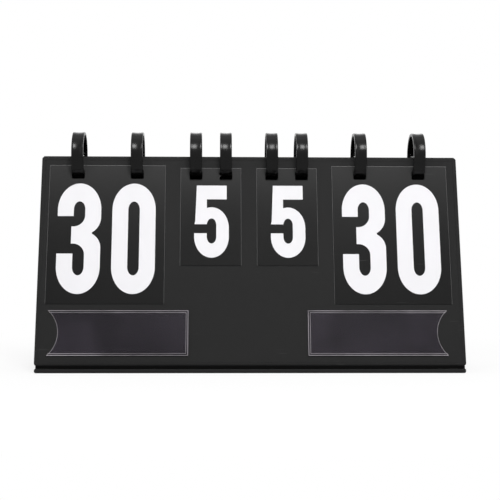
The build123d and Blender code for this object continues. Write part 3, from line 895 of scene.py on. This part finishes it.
@dataclass
class Pockets:
    """The clear name pockets with the two welded lines round three sides.

    Attributes:
        look: The finishes.
        slope: The front leaf's slope.
        beads: Radius of the outer welded line and of the inner one.
        inset: The outer line, in from the pocket's edge.
        pitch: Space between the two lines.
        run_out: How far a line stops before the open end, as a share of its inset.
        scoop: Depth of the thumb scoop.
        scoop_bead: Radius of the scoop's line, as a share of the inner line's.
        arc_steps: Spans in the scoop's line.
    """

    look: Look
    slope: Slope
    beads: tuple[float, float] = (0.36 * MM, 0.24 * MM)
    inset: float = 0.8 * MM
    pitch: float = 1.7 * MM
    run_out: float = 0.6
    scoop: float = 9.8 * MM
    scoop_bead: float = 0.7
    arc_steps: int = 14

    def build(self) -> None:
        """Dress the pockets, lay the welded lines on them and round the scooped edge."""
        for side, hand in (("left", -1), ("right", 1)):
            node = f"pocket_{side}"
            self.look.dress(frame["nodes"][node], "clear_vinyl")
            low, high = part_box(node)
            inner, outer = sorted((abs(low[0]), abs(high[0])))
            face = self.face_height(low)
            level = self.slope.hinge_z + face * math.sin(self.slope.lean)
            top, foot = ((level - z) / math.cos(self.slope.lean) for z in (high[2], low[2]))
            for line, bead in enumerate(self.beads):
                step = self.inset + line * self.pitch
                start, turned = hand * (outer - step * self.run_out), hand * (inner + step)
                path = ((start, top + step), (turned, top + step), (turned, foot - step), (start, foot - step))
                places = [self.slope.at(x, down, face) for x, down in path]
                self.lay(f"pocket_weld_{side}_{line + 1}", places, bead)
            half = (foot - top) / 2
            radius = (half ** 2 + self.scoop ** 2) / (2 * self.scoop)
            reach = math.asin((half - self.inset) / radius)
            arc = []
            for step in range(self.arc_steps + 1):
                turn = reach * (2 * step / self.arc_steps - 1)
                x = outer - self.scoop + radius - radius * math.cos(turn)
                arc.append(self.slope.at(hand * x, top + half + radius * math.sin(turn), face))
            self.lay(f"pocket_scoop_{side}", arc, self.beads[1] * self.scoop_bead)
            log.info("pocket %s welded", side)

    def lay(self, name: str, places: list[Vector], radius: float) -> None:
        """Lay one raised line on a pocket.

        Args:
            name: The line's name.
            places: Points that it runs through.
            radius: Its radius.
        """
        piece = make_bead(name, places, radius)
        self.look.dress(piece, "weld_bead")
        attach(piece, "front_leaf")

    def face_height(self, low: Vector) -> float:
        """Give how far the pocket's outer face is out from the hinge plane.

        Args:
            low: The lowest corner of the pocket's box, on its front foot edge.

        Returns:
            The distance.
        """
        sine, cosine = math.sin(self.slope.lean), math.cos(self.slope.lean)
        return -low[1] * cosine - (self.slope.hinge_z - low[2]) * sine


@dataclass
class Cards:
    """The four stacks of cards with their printed numerals and snap rings.

    Attributes:
        look: The finishes.
        thick: Thickness of a card.
        highlight_radius: Radius of the pale bead of painted highlight at a card's sides.
        head_highlight_radius: Radius of that bead at its top, larger so the top edge shows brighter.
        inset: The bead, in from the card's sides.
    """

    look: Look
    thick: float = 0.25 * MM
    highlight_radius: float = 0.07 * MM
    head_highlight_radius: float = 0.13 * MM
    inset: float = 0.12 * MM

    def build_edge_highlight(self, stack: str, card: str, facing: int) -> None:
        """Lay pale beads at the top and sides of a card's printed face, a painted highlight on its cut edges.

        Args:
            stack: The stack's name.
            card: The card's name in it.
            facing: -1 for the card on the front leaf, whose print faces out, and 1 for the
                one on the back leaf, whose print faces the leaf.
        """
        low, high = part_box(f"{stack}_{card}")
        across, down = self.thick * math.cos(LEAN), self.thick * math.sin(LEAN)
        if facing < 0:
            foot, head = (low[1], low[2] + down), (high[1] - across, high[2])
        else:
            foot, head = (high[1] - across, low[2]), (low[1], high[2] - down)
        left, right = low[0] + self.inset, high[0] - self.inset
        # Painted highlight: pale beads on the top and sides only; the foot, which lies in shade, gets none.
        lines = (("left_edge", (left, head), (left, foot), self.highlight_radius),
                 ("right_edge", (right, head), (right, foot), self.highlight_radius),
                 ("head_edge", (left, head), (right, head), self.head_highlight_radius))
        for line, start, end, radius in lines:
            path = [Vector((across_board, *place)) for across_board, place in (start, end)]
            piece = make_bead(f"{stack}_{card}_{line}", path, radius)
            self.look.dress(piece, "painted_edge_highlight")
            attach(piece, f"{stack}_{card}_body")

    def dress(self) -> None:
        """Give cards, numerals and rings their finishes."""
        for stack in STACKS:
            for card in ("front_card", "rear_card", "pack"):
                self.look.dress(frame["nodes"][f"{stack}_{card}"], "card_plastic")
            for number in ("front_number", "rear_number", "pack_number"):
                self.look.dress(frame["nodes"][f"{stack}_{number}"], "white_print")
            for card, facing in (("front_card", -1), ("rear_card", 1)):
                self.build_edge_highlight(stack, card, facing)
            for side in ("left", "right"):
                self.look.dress(frame["nodes"][f"{stack}_arch_{side}"], "ring_plastic")
                self.look.dress(frame["nodes"][f"{stack}_gate_{side}"], "ring_plastic")
            log.info("stack %s dressed", stack)


# ---- studio -------------------------------------------------------------------------------------
@dataclass(frozen=True)
class Lamp:
    """One soft lamp: where it hangs, its width and its share of the studio's power."""

    name: str
    place: tuple[float, float, float]
    size: float
    share: float


LAMPS = (
    Lamp("lamp_overhead", (0.0, -0.3, 1.5), 1.2, 0.36),
    Lamp("lamp_front_left", (-1.1, -1.3, 0.9), 0.9, 0.32),
    Lamp("lamp_front_right", (1.1, -1.3, 0.9), 0.9, 0.32),
    Lamp("lamp_behind", (0.0, 1.3, 0.8), 0.9, 0.5),
    Lamp("lamp_highlight", (0.1, -1.05, 1.2), 0.45, 2.3),
)


@dataclass
class Studio:
    """The floor, the lamps, the white surroundings and the camera.

    Attributes:
        lens: Focal length in millimetres.
        sensor: Width of the sensor in millimetres.
        level: Tilt of a camera that looks level, in degrees.
        height: The camera's height.
        distance: Its distance in front of the rings' axis.
        aside: Its place along the board.
        turn: Its turn about the vertical, in degrees.
        roll: Its roll, in degrees.
        floor_grey: The floor's base grey.
        floor_reach: Half the floor's width.
        floor_rough: The floor's roughness.
        floor_gloss: The level of its specular reflection.
        lamp_power: The lamps' shared power in watts.
        lamp_aim: What the lamps point at.
        world_on_object: How strongly the surroundings light the object.
        shadow_reach: Where the floor starts to lose the shadow, and where it has lost it.
        shadow_white: How white the floor is made inside that.
    """

    lens: float = 89.3
    sensor: float = 36.0
    level: float = 90.0
    height: float = 0.111
    distance: float = 1.174
    aside: float = -0.032
    turn: float = -1.58
    roll: float = -0.12
    floor_grey: float = 0.92
    floor_reach: float = 6.0
    floor_rough: float = 0.85
    floor_gloss: float = 0.2
    lamp_power: float = 7.2
    lamp_aim: tuple[float, float, float] = (0.0, 0.0, 0.12)
    world_on_object: float = 0.38
    shadow_reach: tuple[float, float] = (0.22, 0.52)
    shadow_white: float = 0.8

    def white_rays(self, tree: Tree) -> Socket:
        """Tell rays that come straight from the camera, a gloss or a clear sheet.

        Args:
            tree: The tree to build in.

        Returns:
            A socket that is 1 for these rays and 0 for others.
        """
        path = tree.add("ShaderNodeLightPath")
        seen = tree.math("MAXIMUM", path.outputs["Is Camera Ray"], path.outputs["Is Glossy Ray"])
        return tree.math("MAXIMUM", seen, path.outputs["Is Transmission Ray"])

    def build_world(self) -> None:
        """Light the surroundings: white to the eye, softer on the object."""
        world = bpy.data.worlds.new("studio_white")
        bpy.context.scene.world = world
        world.use_nodes = True
        tree = Tree(world.node_tree)
        background = world.node_tree.nodes["Background"]
        background.inputs["Color"].default_value = (1.0, 1.0, 1.0, 1.0)
        strength = tree.span(self.white_rays(tree), 0.0, 1.0, self.world_on_object, 1.0)
        tree.feed(background.inputs["Strength"], strength)
        log.info("world built")

    def build_floor(self) -> None:
        """Lay the pale floor."""
        reach = self.floor_reach
        plan = ((-reach, -reach), (reach, -reach), (reach, reach), (-reach, reach))
        corners = [Vector((x, y, 0.0)) for x, y in plan]
        floor = make_piece("studio_floor", corners, [(0, 1, 2, 3)], smooth=False)
        material = bpy.data.materials.new("studio_floor")
        material.use_nodes = True
        tree = Tree(material.node_tree)
        shader = material.node_tree.nodes["Principled BSDF"]
        shader.inputs["Base Color"].default_value = grey(self.floor_grey)
        shader.inputs["Roughness"].default_value = self.floor_rough
        shader.inputs["Specular IOR Level"].default_value = self.floor_gloss
        place = tree.add("ShaderNodeTexCoord").outputs["Object"]
        far = tree.tree.nodes.new("ShaderNodeVectorMath")
        far.operation = "LENGTH"
        tree.feed(far.inputs[0], place)
        white = tree.add("ShaderNodeEmission", Color=(1.0, 1.0, 1.0, 1.0), Strength=1.0)
        blend = tree.add("ShaderNodeMixShader")
        away = tree.span(far.outputs["Value"], *self.shadow_reach, self.shadow_white, 1.0)
        tree.feed(blend.inputs[0], tree.math("MULTIPLY", away, self.white_rays(tree)))
        tree.feed(blend.inputs[1], shader.outputs[0])
        tree.feed(blend.inputs[2], white.outputs[0])
        tree.feed(material.node_tree.nodes["Material Output"].inputs["Surface"], blend.outputs[0])
        floor.data.materials.append(material)
        log.info("floor laid")

    def add_lamp(self, lamp: Lamp) -> None:
        """Hang one soft square lamp.

        Args:
            lamp: The lamp's name, place, size and share of the power.
        """
        data = bpy.data.lights.new(lamp.name, "AREA")
        data.shape = "SQUARE"
        data.size = lamp.size
        data.energy = self.lamp_power * lamp.share
        hung = bpy.data.objects.new(lamp.name, data)
        hung.location = lamp.place
        aim = Vector(self.lamp_aim) - Vector(lamp.place)
        hung.rotation_euler = aim.to_track_quat("-Z", "Y").to_euler()
        bpy.context.scene.collection.objects.link(hung)

    def build_lamps(self) -> None:
        """Hang the soft lamps."""
        for lamp in LAMPS:
            self.add_lamp(lamp)
        log.info("lamps hung")

    def build_camera(self) -> None:
        """Set the camera at the photograph's height, distance and angle of view."""
        data = bpy.data.cameras.new("camera")
        data.lens = self.lens
        data.sensor_width = self.sensor
        camera = bpy.data.objects.new("camera", data)
        camera.location = (self.aside, -self.distance, self.height)
        camera.rotation_euler = [math.radians(angle) for angle in (self.level, self.roll, self.turn)]
        bpy.context.scene.collection.objects.link(camera)
        bpy.context.scene.camera = camera
        bpy.context.scene.view_settings.view_transform = "Standard"
        log.info("camera set")


def main() -> None:
    """Build the scoreboard's pieces in order, then the studio."""
    logging.basicConfig(level=logging.INFO, format="%(message)s")
    look = Look()
    hinge_z = next(j for j in frame["joints"] if j["name"] == "fold_flat")["pos_m"][2]
    slopes = (Slope(LEAN, hinge_z, -1), Slope(LEAN, hinge_z, 1))
    easel = Easel(look, slopes)
    easel.dress()
    easel.build_borders()
    easel.build_slot_shade()
    easel.build_folds()
    Pockets(look, slopes[0]).build()
    Cards(look).dress()
    studio = Studio()
    studio.build_world()
    studio.build_floor()
    studio.build_lamps()
    studio.build_camera()
    bpy.context.view_layer.update()
    log.info("sizes written")


if __name__ == "__main__":
    main()
